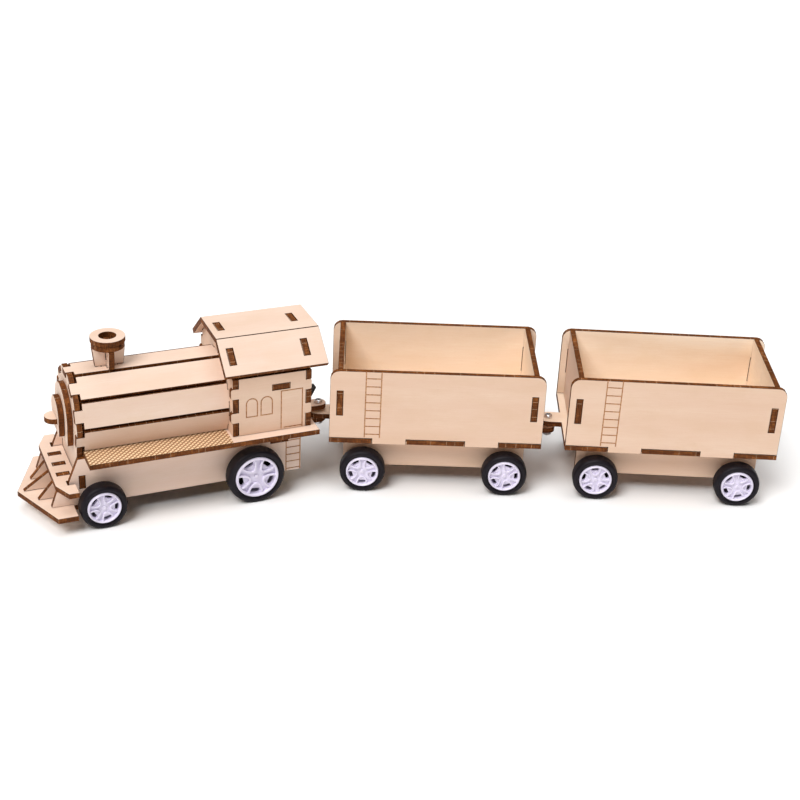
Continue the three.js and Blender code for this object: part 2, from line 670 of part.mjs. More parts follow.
// Rocker switch: a housing let into the rear wall, with an open pocket for the rocker
function switchBody() {
  const face = CAB_REAR + GAP;
  const centred = (x0, x1, halfY, halfZ) =>
    block(x0, x1, SWITCH_Y - halfY, SWITCH_Y + halfY, SWITCH_Z - halfZ, SWITCH_Z + halfZ);
  const bezel = centred(face, face + 2, 5.25, 8.2);
  const housing = centred(CAB_REAR - 12, face + 1, 4.2, 6.5);
  const pocket = centred(CAB_REAR - 4, face + 3, 3.3, 5.6);
  return cut(join(bezel, housing), pocket);
}

function switchRocker() {
  const face = CAB_REAR + GAP + 2;
  const profile = outline([
    [face - 4, -3.6], [face - 1.2, -4.8], [face + 0.8, -4.8], [face + 3.2, -0.4], [face + 5.6, 4.2],
    [face + 1, 4.8], [face - 1.2, 4.8], [face - 4, 3.6],
  ].map(([x, z]) => [x, z + SWITCH_Z]));
  return lengthwise(profile, SWITCH_Y - 2.9, 5.8);
}

// Gearbox around the rear axle with the motor can behind it, hung under the shelf
function gearMotor() {
  const box = lengthwise(
    outline(rectangle(-11, 10.5, 13, SHELF_Z - GAP), [circle(0, LARGE_WHEEL_R, AXLE_HOLE_R)]), -11, 22);
  const can = new THREE.CylinderGeometry(9.5, 9.5, 20, 20).rotateZ(Math.PI / 2).translate(22, 0, 21.5);
  return join(box, can);
}

function shelf() {
  const inside = FRAME_HALF_W - PLY - GAP;
  const near = [
    [-14, -inside], [SHELF_TAB[0], -inside], [SHELF_TAB[0], -FRAME_HALF_W], [SHELF_TAB[1], -FRAME_HALF_W],
    [SHELF_TAB[1], -inside], [FRAME_REAR, -inside],
  ];
  return outline([...near, ...near.map(([x, y]) => [x, -y]).reverse()]);
}

const locoEar = (front) => outline(
  [[front, -EAR_HALF], ...earEnd(LOCO_PIVOT), [front, EAR_HALF]], [boltHole(LOCO_PIVOT)]);

function locomotive() {
  const group = new THREE.Group();
  const add = (name, geometry, material = PLYWOOD) => addPart(group, name, geometry, material);
  const board = rectangle(BOARD_FRONT, -BOARD_HALF_W, BOARD_REAR, BOARD_HALF_W);
  add('running_board', flat(outline(board), BOARD_TOP - PLY));
  add('frame_left', lengthwise(locoFrameSide(), -FRAME_HALF_W));
  add('frame_right', lengthwise(locoFrameSide(), FRAME_HALF_W - PLY));
  addPilot(group);
  addBoiler(group);
  addChimney(group);
  addCab(group);
  add('motor_shelf', flat(shelf(), SHELF_Z));
  add('gear_motor', gearMotor(), YELLOW_PLASTIC);
  add('battery_box', block(-82, -24, -16, 16, BOARD_TOP + GAP, BOARD_TOP + GAP + 16), BLACK_PLASTIC);
  add('switch_body', switchBody(), BLACK_PLASTIC);
  add('switch_rocker', switchRocker(), BLACK_PLASTIC);
  add('coupling_ear_upper', flat(locoEar(27), UPPER_EAR_Z));
  add('coupling_ear_lower', flat(locoEar(FRAME_REAR + GAP), LOWER_EAR_Z));
  add('coupling_bolt_1', bolt(LOWER_EAR_Z, UPPER_EAR_Z + PLY), STEEL).position.x = LOCO_PIVOT;
  add('wheelset_front', wheelset(SMALL_WHEEL_R), WHEEL).position.set(-LOCO_WHEELBASE, 0, SMALL_WHEEL_R);
  add('wheelset_rear', wheelset(LARGE_WHEEL_R), WHEEL).position.set(0, 0, LARGE_WHEEL_R);
  return group;
}

// ---- the train ----------------------------------------------------------------------

const train = new THREE.Group();

const loco = locomotive();
const wagon1 = wagon('wagon_1', true);
const wagon2 = wagon('wagon_2', false);
addPart(wagon1, 'coupling_bolt_2', bolt(TIE_Z, WAGON_FLOOR_TOP), STEEL).position.x = WAGON_PIVOT;

// Each vehicle turns about the bolt that it shares with the one before it
loco.rotation.z = LOCO_YAW;
loco.position.set(-WAGON_PIVOT - LOCO_PIVOT * Math.cos(LOCO_YAW), -LOCO_PIVOT * Math.sin(LOCO_YAW), 0);
wagon2.rotation.z = WAGON_2_YAW;
wagon2.position.set(
  WAGON_PIVOT + WAGON_PIVOT * Math.cos(WAGON_2_YAW), WAGON_PIVOT * Math.sin(WAGON_2_YAW), 0);
train.add(loco, wagon1, wagon2);

// The origin lies on the floor under the middle of the whole train
const box = new THREE.Box3().setFromObject(train, true);
const middle = box.getCenter(new THREE.Vector3());
train.position.set(-middle.x, -middle.y, -box.min.z);

export default train;
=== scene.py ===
import json
import math
import random

import bmesh
import bpy
from mathutils import Matrix, Vector

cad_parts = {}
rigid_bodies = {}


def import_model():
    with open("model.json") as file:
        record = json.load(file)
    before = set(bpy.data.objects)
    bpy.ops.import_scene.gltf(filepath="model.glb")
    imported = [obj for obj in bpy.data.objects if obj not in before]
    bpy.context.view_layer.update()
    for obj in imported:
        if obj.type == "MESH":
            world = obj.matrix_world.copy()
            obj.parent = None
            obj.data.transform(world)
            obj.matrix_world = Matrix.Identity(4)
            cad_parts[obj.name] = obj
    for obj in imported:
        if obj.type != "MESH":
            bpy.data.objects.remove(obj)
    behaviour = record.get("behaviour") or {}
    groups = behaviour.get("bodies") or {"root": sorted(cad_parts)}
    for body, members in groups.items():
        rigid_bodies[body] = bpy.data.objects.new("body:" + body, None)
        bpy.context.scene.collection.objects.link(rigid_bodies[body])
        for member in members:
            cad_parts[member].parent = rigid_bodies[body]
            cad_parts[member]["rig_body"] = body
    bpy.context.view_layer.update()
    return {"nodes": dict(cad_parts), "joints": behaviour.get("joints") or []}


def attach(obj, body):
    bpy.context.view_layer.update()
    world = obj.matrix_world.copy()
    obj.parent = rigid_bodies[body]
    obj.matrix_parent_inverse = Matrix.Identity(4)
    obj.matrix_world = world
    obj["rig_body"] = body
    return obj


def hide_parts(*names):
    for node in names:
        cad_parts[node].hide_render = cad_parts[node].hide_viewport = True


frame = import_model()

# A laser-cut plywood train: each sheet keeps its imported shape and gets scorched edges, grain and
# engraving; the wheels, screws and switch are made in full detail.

NODES = frame["nodes"]
JOINTS = {j["name"]: j for j in frame["joints"]}

MM = 0.001
PLY = 3.5 * MM
SCORCH = 0.20 * MM         # width of the dark line where the laser left the sheet
GROOVE_W = 0.75            # engraved line, millimetres
GROOVE_DEPTH = 0.3

FACE, LINE, EDGE, INSIDE = 0, 1, 2, 3  # material slots of every plywood sheet

TREAD_PER_METRE = 290.0    # diamonds engraved along the running board
TREAD_END = -0.0165        # where they stop, at the cab

SIDES = (("left", -1), ("right", 1))
WAGONS = ("wagon_1", "wagon_2")


# ---- where the vehicles stand -----------------------------------------------------------

def standing(axle, origin):
    """Matrix from a vehicle's own millimetres (X to the tail, Z up from the floor) to the row frame."""
    across = Vector(JOINTS[axle]["axis"]).normalized()
    along = across.cross(Vector((0, 0, 1)))
    turn = Matrix((along, across, (0, 0, 1))).transposed().to_4x4()
    return Matrix.Translation(Vector((origin.x, origin.y, 0))) @ turn @ Matrix.Scale(MM, 4)


def axle_point(name):
    return Vector(JOINTS[name]["pos_m"])


def middle_of(wagon):
    return (axle_point(f"{wagon}_front_axle") + axle_point(f"{wagon}_rear_axle")) / 2


VEHICLES = {
    "locomotive": standing("loco_rear_axle", axle_point("loco_rear_axle")),
    "wagon_1": standing("wagon_1_front_axle", middle_of("wagon_1")),
    "wagon_2": standing("wagon_2_front_axle", middle_of("wagon_2")),
}


def vehicle_of(name):
    return name[:7] if name.startswith("wagon_") else "locomotive"


# ---- shader helpers ---------------------------------------------------------------------

class Shader:
    """A material whose nodes are added one call at a time."""

    def __init__(self, name):
        self.material = bpy.data.materials.new(name)
        self.material.use_nodes = True
        self.tree = self.material.node_tree
        self.surface = self.tree.nodes["Principled BSDF"]

    def node(self, kind, inputs=None, **settings):
        n = self.tree.nodes.new(kind)
        for key, value in settings.items():
            setattr(n, key, value)
        for key, value in (inputs or {}).items():
            self.feed(n.inputs[key], value)
        return n

    def feed(self, socket, value):
        if isinstance(value, bpy.types.NodeSocket):
            self.tree.links.new(value, socket)
        else:
            socket.default_value = value

    def set(self, **inputs):
        for key, value in inputs.items():
            self.feed(self.surface.inputs[key.replace("_", " ")], value)
        return self

    def sheet_coords(self, scale):
        uv = self.node("ShaderNodeUVMap", uv_map="sheet").outputs["UV"]
        return self.node("ShaderNodeMapping", {"Vector": uv, "Scale": scale}).outputs["Vector"]

    def object_coords(self, scale=(1, 1, 1)):
        at = self.node("ShaderNodeTexCoord").outputs["Object"]
        return self.node("ShaderNodeMapping", {"Vector": at, "Scale": scale}).outputs["Vector"]

    def noise(self, vector, scale=1.0, detail=3.0, roughness=0.55):
        return self.node("ShaderNodeTexNoise", {
            "Vector": vector, "Scale": scale, "Detail": detail, "Roughness": roughness,
        }).outputs["Fac"]

    def math(self, operation, a, b=0.0, clamp=False):
        return self.node("ShaderNodeMath", {0: a, 1: b}, operation=operation, use_clamp=clamp).outputs[0]

    def remap(self, value, a0, a1, b0, b1):
        return self.node("ShaderNodeMapRange", {
            "Value": value, "From Min": a0, "From Max": a1, "To Min": b0, "To Max": b1,
        }).outputs["Result"]

    def mix(self, factor, a, b, blend="MIX"):
        n = self.node("ShaderNodeMix", data_type="RGBA", blend_type=blend)
        self.feed(n.inputs["Factor"], factor)
        self.feed(n.inputs[6], a)
        self.feed(n.inputs[7], b)
        return n.outputs[2]

    def ramp(self, factor, *stops):
        n = self.node("ShaderNodeValToRGB", {"Fac": factor})
        ramp = n.color_ramp
        while len(ramp.elements) < len(stops):
            ramp.elements.new(0.5)
        for element, (position, color) in zip(ramp.elements, stops):
            element.position = position
            element.color = color
        return n.outputs["Color"]

    def bump(self, height, strength, distance):
        return self.node("ShaderNodeBump", {
            "Height": height, "Strength": strength, "Distance": distance,
        }).outputs["Normal"]


def rgb(r, g, b):
    return (r, g, b, 1.0)


# ---- finishes ---------------------------------------------------------------------------

def birch_color(s, tone=(1, 1, 1)):
    """Pale sheet veneer: broad figure, fine streaks along the grain and short darker pores."""
    figure = s.noise(s.sheet_coords((9, 55, 1)), detail=4.0)
    swirl = s.noise(s.sheet_coords((38, 75, 1)), detail=5.0, roughness=0.6)
    streak = s.noise(s.sheet_coords((55, 1500, 1)), detail=4.0, roughness=0.65)
    pores = s.noise(s.sheet_coords((420, 5200, 1)), detail=1.0)
    base = s.ramp(
        figure, (0.28, rgb(0.770, 0.560, 0.440)), (0.50, rgb(0.805, 0.610, 0.495)),
        (0.72, rgb(0.840, 0.665, 0.550)))
    streaked = s.mix(s.remap(streak, 0.35, 0.72, 0.0, 0.45), base, rgb(0.76, 0.53, 0.39))
    flecks = s.remap(pores, 0.66, 0.74, 0.0, 0.28)
    curled = s.mix(s.remap(swirl, 0.46, 0.62, 0.0, 0.30), streaked, rgb(0.74, 0.535, 0.385))
    color = s.mix(flecks, curled, rgb(0.55, 0.34, 0.21))
    return s.mix(1.0, color, rgb(*tone), "MULTIPLY"), streak


def make_birch_face(name, tone=(1, 1, 1)):
    s = Shader(name)
    color, streak = birch_color(s, tone)
    s.set(Base_Color=color, Roughness=s.remap(streak, 0.3, 0.7, 0.55, 0.72))
    s.set(Normal=s.bump(streak, 0.25, 0.00005))
    s.surface.inputs["Specular IOR Level"].default_value = 0.35
    return s.material


def make_scorched_edge(name, line):
    """Laser-cut edge: three veneers, upright burn marks, and a pale nick where the sheet was held."""
    s = Shader(name)
    uv = s.node("ShaderNodeUVMap", uv_map="sheet").outputs["UV"]
    parts = s.node("ShaderNodeSeparateXYZ", {"Vector": uv})
    run, depth = parts.outputs["X"], parts.outputs["Y"]
    marks = s.noise(s.sheet_coords((1500, 120, 1)), detail=3.0, roughness=0.7)
    cloud = s.noise(s.sheet_coords((110, 300, 1)), detail=2.0)
    burn = s.math("ADD", s.math("MULTIPLY", marks, 0.55), s.math("MULTIPLY", cloud, 0.45))
    brown = s.ramp(
        burn, (0.39, rgb(0.022, 0.006, 0.002)), (0.51, rgb(0.105, 0.029, 0.007)),
        (0.64, rgb(0.340, 0.120, 0.030)))
    veneer = s.math("FRACT", s.math("DIVIDE", depth, PLY / 3))
    glue = s.math("LESS_THAN", s.math("ABSOLUTE", s.math("SUBTRACT", veneer, 0.5)), 0.36)
    layered = s.mix(s.math("MULTIPLY", glue, 0.36), brown, rgb(0.22, 0.072, 0.017))
    held = s.node("ShaderNodeTexVoronoi", {"W": s.math("MULTIPLY", run, 36.0)}, voronoi_dimensions="1D")
    chance = s.node("ShaderNodeSeparateColor", {"Color": held.outputs["Color"]}).outputs["Red"]
    near = s.math("LESS_THAN", held.outputs["Distance"], 0.009)
    nick = s.math("MULTIPLY", near, s.math("GREATER_THAN", chance, 0.55))
    dark = rgb(0.020, 0.006, 0.002)
    body = s.mix(0.8, layered, dark) if line else layered
    s.set(Base_Color=s.mix(nick, body, rgb(0.80, 0.56, 0.36)))
    s.set(Roughness=s.remap(marks, 0.3, 0.7, 0.55, 0.8), Normal=s.bump(marks, 0.5, 0.00015))
    s.surface.inputs["Specular IOR Level"].default_value = 0.12
    return s.material


def make_engraved():
    s = Shader("engraved_line")
    burn = s.noise(s.object_coords((900, 900, 900)), detail=2.0)
    s.set(Base_Color=s.ramp(burn, (0.35, rgb(0.38, 0.155, 0.060)), (0.65, rgb(0.62, 0.330, 0.150))))
    s.set(Roughness=s.remap(burn, 0.3, 0.7, 0.65, 0.85))
    return s.material


def make_tread_plate():
    """The running board: woven diamonds engraved from the nose to the cab."""
    s = Shader("engraved_running_board")
    color, streak = birch_color(s)
    uv = s.node("ShaderNodeUVMap", uv_map="sheet").outputs["UV"]
    parts = s.node("ShaderNodeSeparateXYZ", {"Vector": uv})
    x, y = parts.outputs["X"], parts.outputs["Y"]
    lines = []
    for slope in (1.0, -1.0):
        along = s.math("ADD", s.math("MULTIPLY", x, TREAD_PER_METRE),
                       s.math("MULTIPLY", y, TREAD_PER_METRE * slope))
        wave = s.math("ABSOLUTE", s.math("SUBTRACT", s.math("FRACT", along), 0.5))
        lines.append(s.remap(wave, 0.22, 0.36, 0.0, 1.0 if slope < 0 else 0.75))
    weave = s.math("MAXIMUM", lines[0], lines[1])
    forward = s.math("LESS_THAN", x, TREAD_END)
    engraved = s.math("MULTIPLY", weave, forward)
    # The tread's ridges tinted golden and lighter: a painted highlight for the light catching them.
    highlight_tinted = s.mix(s.math("MULTIPLY", forward, 0.6), color, rgb(0.98, 0.74, 0.40))
    s.set(Base_Color=s.mix(s.math("MULTIPLY", engraved, 0.95), highlight_tinted, rgb(0.27, 0.095, 0.024)))
    s.set(Roughness=s.remap(streak, 0.3, 0.7, 0.6, 0.78))
    s.set(Normal=s.bump(s.math("SUBTRACT", 1.0, engraved), 0.6, 0.00025))
    return s.material


def make_plastic(name, color, shade, roughness, grain, depth):
    s = Shader(name)
    fine = s.noise(s.object_coords((grain, grain, grain)), detail=2.0)
    broad = s.noise(s.object_coords((90, 90, 90)), detail=2.0)
    s.set(Base_Color=s.mix(s.remap(broad, 0.35, 0.7, 0.0, 1.0), color, shade))
    s.set(Roughness=s.remap(fine, 0.3, 0.7, roughness - 0.06, roughness + 0.08))
    s.set(Normal=s.bump(fine, 0.3, depth))
    return s.material


def make_steel():
    s = Shader("zinc_plated_steel")
    fine = s.noise(s.object_coords((1800, 1800, 1800)), detail=2.0)
    s.set(Base_Color=s.mix(s.remap(fine, 0.3, 0.7, 0.0, 1.0), rgb(0.62, 0.63, 0.66), rgb(0.78, 0.78, 0.80)))
    s.set(Roughness=s.remap(fine, 0.3, 0.7, 0.2, 0.36), Metallic=1.0)
    return s.material


BIRCH = make_birch_face("birch_face")
# Paler copy of the birch for the frame sides: painted light for the bounce light under the running board.
BIRCH_PALE_PAINTED_LIGHT = make_birch_face("birch_face_pale_painted_light", (1.10, 1.13, 1.18))
BIRCH_TAN = make_birch_face("birch_face_tan", (0.98, 0.925, 0.86))
# Paler, less orange copy for the wagons' inner faces: painted light for the light falling into them.
BIRCH_INSIDE_PAINTED_LIGHT = make_birch_face("birch_face_inside_painted_light", (1.14, 1.24, 1.23))
SCORCH_LINE = make_scorched_edge("scorched_line", True)
SCORCHED = make_scorched_edge("scorched_edge", False)
ENGRAVED = make_engraved()
TREAD_PLATE = make_tread_plate()
RUBBER = make_plastic(
    "tyre_rubber", rgb(0.007, 0.005, 0.008), rgb(0.012, 0.009, 0.013), 0.50, 2600, 0.00004)
RUBBER.node_tree.nodes["Principled BSDF"].inputs["Specular IOR Level"].default_value = 0.18
HUB_WHITE = make_plastic(
    "hub_white_plastic", rgb(0.76, 0.71, 0.86), rgb(0.82, 0.77, 0.92), 0.30, 1500, 0.00001)
BLACK_PLASTIC = make_plastic(
    "black_plastic", rgb(0.012, 0.012, 0.013), rgb(0.022, 0.022, 0.024), 0.38, 2400, 0.00003)
YELLOW_PLASTIC = make_plastic(
    "yellow_plastic", rgb(0.72, 0.45, 0.04), rgb(0.80, 0.53, 0.06), 0.45, 1800, 0.00002)
STEEL = make_steel()


# ---- objects ----------------------------------------------------------------------------

def link(name, mesh):
    obj = bpy.data.objects.new(name, mesh)
    bpy.context.scene.collection.objects.link(obj)
    return obj


def to_mesh(name, bm):
    mesh = bpy.data.meshes.new(name)
    bm.to_mesh(mesh)
    bm.free()
    return mesh


def settle(obj):
    """The object's evaluated shape as a plain mesh, with its modifiers gone."""
    graph = bpy.context.evaluated_depsgraph_get()
    mesh = bpy.data.meshes.new_from_object(obj.evaluated_get(graph), depsgraph=graph)
    obj.modifiers.clear()
    obj.data = mesh
    return obj


def drop(*objects):
    for obj in objects:
        bpy.data.objects.remove(obj)


def hand_over(obj, body, slot, *nodes):
    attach(obj, body)
    if nodes:
        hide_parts(*nodes)
    return obj


def box_bm(x0, x1, y0, y1, z0, z1):
    bm = bmesh.new()
    size = Matrix.Diagonal((x1 - x0, y1 - y0, z1 - z0, 1))
    at = Matrix.Translation(((x0 + x1) / 2, (y0 + y1) / 2, (z0 + z1) / 2))
    bmesh.ops.create_cube(bm, size=1.0, matrix=at @ size)
    return bm


def join_bm(parts):
    """One bmesh holding every part, each of which is freed."""
    whole = bmesh.new()
    for part in parts:
        mesh = to_mesh("part", part)
        whole.from_mesh(mesh)
        bpy.data.meshes.remove(mesh)
    return whole


def lathe_bm(profile, steps, ripple=None):
    """Closed profile of (radius, y) turned about the Y axis; ripple(radius, y, step) may move a point."""
    bm = bmesh.new()
    rings = []
    for i in range(steps):
        a = 2 * math.pi * i / steps
        ring = []
        for r, y in profile:
            q = ripple(r, y, i) if ripple else r
            ring.append(bm.verts.new((q * math.cos(a), y, q * math.sin(a))))
        rings.append(ring)
    count = len(profile)
    for i, ring in enumerate(rings):
        after = rings[(i + 1) % steps]
        for j in range(count):
            k = (j + 1) % count
            bm.faces.new((ring[j], after[j], after[k], ring[k]))
    bmesh.ops.remove_doubles(bm, verts=bm.verts, dist=1e-7)
    bmesh.ops.recalc_face_normals(bm, faces=bm.faces)
    for f in bm.faces:
        f.smooth = True
    return bm


def sharpen(mesh, degrees):
    """Shades smooth except across edges sharper than this."""
    bm = bmesh.new()
    bm.from_mesh(mesh)
    for f in bm.faces:
        f.smooth = True
    for e in bm.edges:
        e.smooth = not (e.is_manifold and e.calc_face_angle(0.0) > math.radians(degrees))
    bm.to_mesh(mesh)
    bm.free()


# ---- Geometry Nodes: rows and rings of copies --------------------------------------------

def new_tree(name, inputs):
    tree = bpy.data.node_groups.new(name, "GeometryNodeTree")
    tree.interface.new_socket("Geometry", in_out="INPUT", socket_type="NodeSocketGeometry")
    for label, kind in inputs:
        tree.interface.new_socket(label, in_out="INPUT", socket_type=kind)
    tree.interface.new_socket("Geometry", in_out="OUTPUT", socket_type="NodeSocketGeometry")
    return tree, tree.nodes.new("NodeGroupInput"), tree.nodes.new("NodeGroupOutput")


def finish_tree(tree, instances, source, target):
    """Ends a tree: instances made real, then given the Material input."""
    real = tree.nodes.new("GeometryNodeRealizeInstances")
    paint = tree.nodes.new("GeometryNodeSetMaterial")
    tree.links.new(instances, real.inputs["Geometry"])
    tree.links.new(real.outputs["Geometry"], paint.inputs["Geometry"])
    tree.links.new(source.outputs["Material"], paint.inputs["Material"])
    tree.links.new(paint.outputs["Geometry"], target.inputs["Geometry"])


def make_row_tree():
    """Copies the incoming shape Count times, each Step further on."""
    tree, source, target = new_tree("row_of_copies", [
        ("Count", "NodeSocketInt"), ("Step", "NodeSocketVector"), ("Material", "NodeSocketMaterial")])
    line = tree.nodes.new("GeometryNodeMeshLine")
    copies = tree.nodes.new("GeometryNodeInstanceOnPoints")
    tree.links.new(source.outputs["Count"], line.inputs["Count"])
    tree.links.new(source.outputs["Step"], line.inputs["Offset"])
    tree.links.new(line.outputs["Mesh"], copies.inputs["Points"])
    tree.links.new(source.outputs["Geometry"], copies.inputs["Instance"])
    finish_tree(tree, copies.outputs["Instances"], source, target)
    return tree


def make_ring_tree():
    """Copies the incoming shape Count times round the Y axis, the first turned by Phase."""
    tree, source, target = new_tree("ring_of_copies", [
        ("Count", "NodeSocketInt"), ("Phase", "NodeSocketFloat"), ("Material", "NodeSocketMaterial")])
    points = tree.nodes.new("GeometryNodePoints")
    index = tree.nodes.new("GeometryNodeInputIndex")
    share = tree.nodes.new("ShaderNodeMath")
    share.operation = "DIVIDE"
    angle = tree.nodes.new("ShaderNodeMath")
    angle.operation = "MULTIPLY_ADD"
    angle.inputs[1].default_value = 2 * math.pi
    turn = tree.nodes.new("ShaderNodeCombineXYZ")
    copies = tree.nodes.new("GeometryNodeInstanceOnPoints")
    tree.links.new(source.outputs["Count"], points.inputs["Count"])
    tree.links.new(index.outputs["Index"], share.inputs[0])
    tree.links.new(source.outputs["Count"], share.inputs[1])
    tree.links.new(share.outputs[0], angle.inputs[0])
    tree.links.new(source.outputs["Phase"], angle.inputs[2])
    tree.links.new(angle.outputs[0], turn.inputs["Y"])
    tree.links.new(points.outputs["Points"], copies.inputs["Points"])
    tree.links.new(turn.outputs["Vector"], copies.inputs["Rotation"])
    tree.links.new(source.outputs["Geometry"], copies.inputs["Instance"])
    finish_tree(tree, copies.outputs["Instances"], source, target)
    return tree


ROW_TREE = make_row_tree()
RING_TREE = make_ring_tree()


def copies_of(bm, tree, material, **values):
    """The bmesh repeated by a tree, as a plain mesh."""
    obj = link("copies", to_mesh("copies", bm))
    modifier = obj.modifiers.new("copies", "NODES")
    modifier.node_group = tree
    sockets = {item.name: item.identifier for item in tree.interface.items_tree if item.in_out == "INPUT"}
    modifier[sockets["Material"]] = material
    for name, value in values.items():
        modifier[sockets[name]] = value
    settle(obj)
    mesh = obj.data
    drop(obj)
    return mesh


# ---- plywood sheets -----------------------------------------------------------------------

def sheet_normal(bm):
    """Direction that most of the sheet's area faces."""
    totals = {}
    for f in bm.faces:
        n = f.normal
        if (n.x, n.y, n.z) < (0, 0, 0):
            n = -n
        key = tuple(round(c, 2) for c in n)
        total = totals.setdefault(key, [0.0, n.copy()])
        total[0] += f.calc_area()
    return max(totals.values(), key=lambda t: t[0])[1].normalized()


def lay_grain(bm, normal, to_vehicle, seed):
    """UVs in metres: along and across the grain on the faces, run and depth on the edges."""
    rotate = to_vehicle.to_3x3().normalized()
    across = (rotate @ normal).normalized()
    grain = Vector((0, 1, 0)) if abs(across.x) > 0.8 else Vector((1, 0, 0))
    side = across.cross(grain).normalized()
    pick = random.Random(seed)
    shift = Vector((pick.uniform(0, 3), pick.uniform(0, 3))) if seed else Vector((0, 0))
    layer = bm.loops.layers.uv.new("sheet")
    deepest = min((to_vehicle @ v.co).dot(across) for v in bm.verts)
    for f in bm.faces:
        facing = (rotate @ f.normal).normalized()
        flat = f.material_index == FACE
        run = grain if flat else across.cross(facing).normalized()
        for loop in f.loops:
            p = to_vehicle @ loop.vert.co * MM
            if flat:
                loop[layer].uv = Vector((p.dot(grain), p.dot(side))) + shift
            else:
                loop[layer].uv = (p.dot(run) + shift.x, p.dot(across) - deepest * MM)


def sheet_bm(bm, normal, line=SCORCH):
    """Marks faces and edges of a sheet, and narrows each face by a thin scorched line."""
    for f in bm.faces:
        f.material_index = FACE if abs(f.normal.dot(normal)) > 0.9 else EDGE
    rims = [e for e in bm.edges if len(e.link_faces) == 2
            and {f.material_index for f in e.link_faces} == {FACE, EDGE}]
    bmesh.ops.bevel(
        bm, geom=rims, offset=line, offset_type="OFFSET", segments=1, profile=0.5,
        affect="EDGES", clamp_overlap=True, material=LINE)
    return bm


def mark_inside(bm, to_vehicle):
    """Gives the faces turned towards a wagon's inside a paler, less orange veneer: painted light for the
    light falling into the open wagon.
    """
    rotate = to_vehicle.to_3x3().normalized()
    for f in bm.faces:
        at, facing = to_vehicle @ f.calc_center_median(), rotate @ f.normal
        inwards = facing.z > 0.9 or facing.x * at.x + facing.y * at.y < -9
        if f.material_index == FACE and inwards:
            f.material_index = INSIDE


def face_veneer(name):
    """Wagons and cab are a shade darker than the boiler; the frame sides are a shade paler, painted light
    standing in for the floor's bounce light under the running board.
    """
    if name.startswith(("wagon", "cab")):
        return BIRCH_TAN
    return BIRCH_PALE_PAINTED_LIGHT if name.startswith("frame") else BIRCH


def plywood(name, bm, vehicle, seed):
    """A plywood object from one closed sheet in the row frame."""
    normal = sheet_normal(bm)
    sheet_bm(bm, normal)
    lay_grain(bm, normal, VEHICLES[vehicle].inverted(), seed)
    if name.startswith("wagon") and any(word in name for word in ("side", "end", "floor")):
        mark_inside(bm, VEHICLES[vehicle].inverted())
    obj = link(name, to_mesh(name, bm))
    for material in (face_veneer(name), SCORCH_LINE, SCORCHED, BIRCH_INSIDE_PAINTED_LIGHT):
        obj.data.materials.append(material)
    return obj


def merged(node):
    """A copy of a node's shape with its doubles merged and its flat faces whole."""
    bm = bmesh.new()
    bm.from_mesh(NODES[node].data)
    bmesh.ops.remove_doubles(bm, verts=bm.verts, dist=2e-6)
    bmesh.ops.dissolve_limit(bm, angle_limit=math.radians(0.6), verts=bm.verts, edges=bm.edges)
    for layer in list(bm.loops.layers.uv):
        bm.loops.layers.uv.remove(layer)
    return bm


def carve(obj, cutter, material_mode="INDEX"):
    """Takes the cutter's shape out of the object."""
    modifier = obj.modifiers.new("carve", "BOOLEAN")
    modifier.operation = "DIFFERENCE"
    modifier.solver = "EXACT"
    modifier.use_self = True
    modifier.material_mode = material_mode
    modifier.object = cutter
    settle(obj)


def engrave(obj, vehicle, cutter_mesh):
    """Cuts the engraved lines, given in the vehicle's millimetres, into a sheet."""
    cutter_mesh.transform(VEHICLES[vehicle])
    cutter = link("engraver", cutter_mesh)
    carve(obj, cutter, "TRANSFER")
    drop(cutter)


# ---- engraved lines, in a vehicle's millimetres -------------------------------------------

# Outer faces of the lengthwise sheets, from the vehicle's middle.
WAGON_SIDE_Y = 39.2
CAB_SIDE_Y = 35.8
FRAME_SIDE_Y = 27.0


def line_on_side(x0, z0, x1, z1, y, width=GROOVE_W, depth=GROOVE_DEPTH):
    """Cutter for one straight line on a lengthwise sheet whose outer face is at y."""
    along = Vector((x1 - x0, 0, z1 - z0))
    length = along.length
    bm = box_bm(-width / 2, length + width / 2, -depth, depth, -width / 2, width / 2)
    tilt = Matrix.Rotation(-math.atan2(z1 - z0, x1 - x0), 4, "Y")
    bm.transform(Matrix.Translation((x0, y, z0)) @ tilt)
    return bm


def path_on_side(points, y):
    return [line_on_side(*a, *b, y) for a, b in zip(points, points[1:])]


def painted(mesh, material):
    mesh.materials.clear()
    mesh.materials.append(material)
    return mesh


def ladder(x0, x1, z0, z1, rungs, first, step, y):
    """Two rails and a row of rungs."""
    rails = [line_on_side(x0, z0, x0, z1, y), line_on_side(x1, z0, x1, z1, y)]
    rung = line_on_side(x0 + 0.2, first, x1 - 0.2, first, y)
    row = copies_of(rung, ROW_TREE, ENGRAVED, Count=rungs, Step=(0.0, 0.0, step))
    whole = join_bm(rails)
    whole.from_mesh(row)
    bpy.data.meshes.remove(row)
    return painted(to_mesh("ladder", whole), ENGRAVED)


def arch(x0, x1, z0, z1):
    """Outline of a round-headed window."""
    middle, r = (x0 + x1) / 2, (x1 - x0) / 2
    head = [(middle + r * math.cos(a), z1 - r + r * math.sin(a))
            for a in (math.pi * i / 10 for i in range(11))]
    return [(x0, z0), (x1, z0), *head, (x0, z0)]


def cab_side_lines(y):
    lines = path_on_side(arch(-6.0, 1.3, 61.8, 74.6), y) + path_on_side(arch(3.7, 11.2, 61.8, 74.6), y)
    lines += path_on_side([(17.2, 50.3), (17.2, 77.0), (31.4, 77.0), (31.4, 49.6)], y)
    lines += path_on_side([(19.3, 50.6), (30.6, 50.6)], y)
    return painted(to_mesh("cab_lines", join_bm(lines)), ENGRAVED)


# ---- the sheets ---------------------------------------------------------------------------

SHEETS = sorted(
    name for name in NODES
    if not any(word in name for word in ("wheelset", "bolt", "switch", "motor", "battery"))
) + ["motor_shelf"]


def make_sheets():
    made = {}
    for number, node in enumerate(SHEETS, 1):
        seed = 0 if node == "running_board" else number
        made[node] = plywood(f"{node}_sheet", merged(node), vehicle_of(node), seed)
    return made


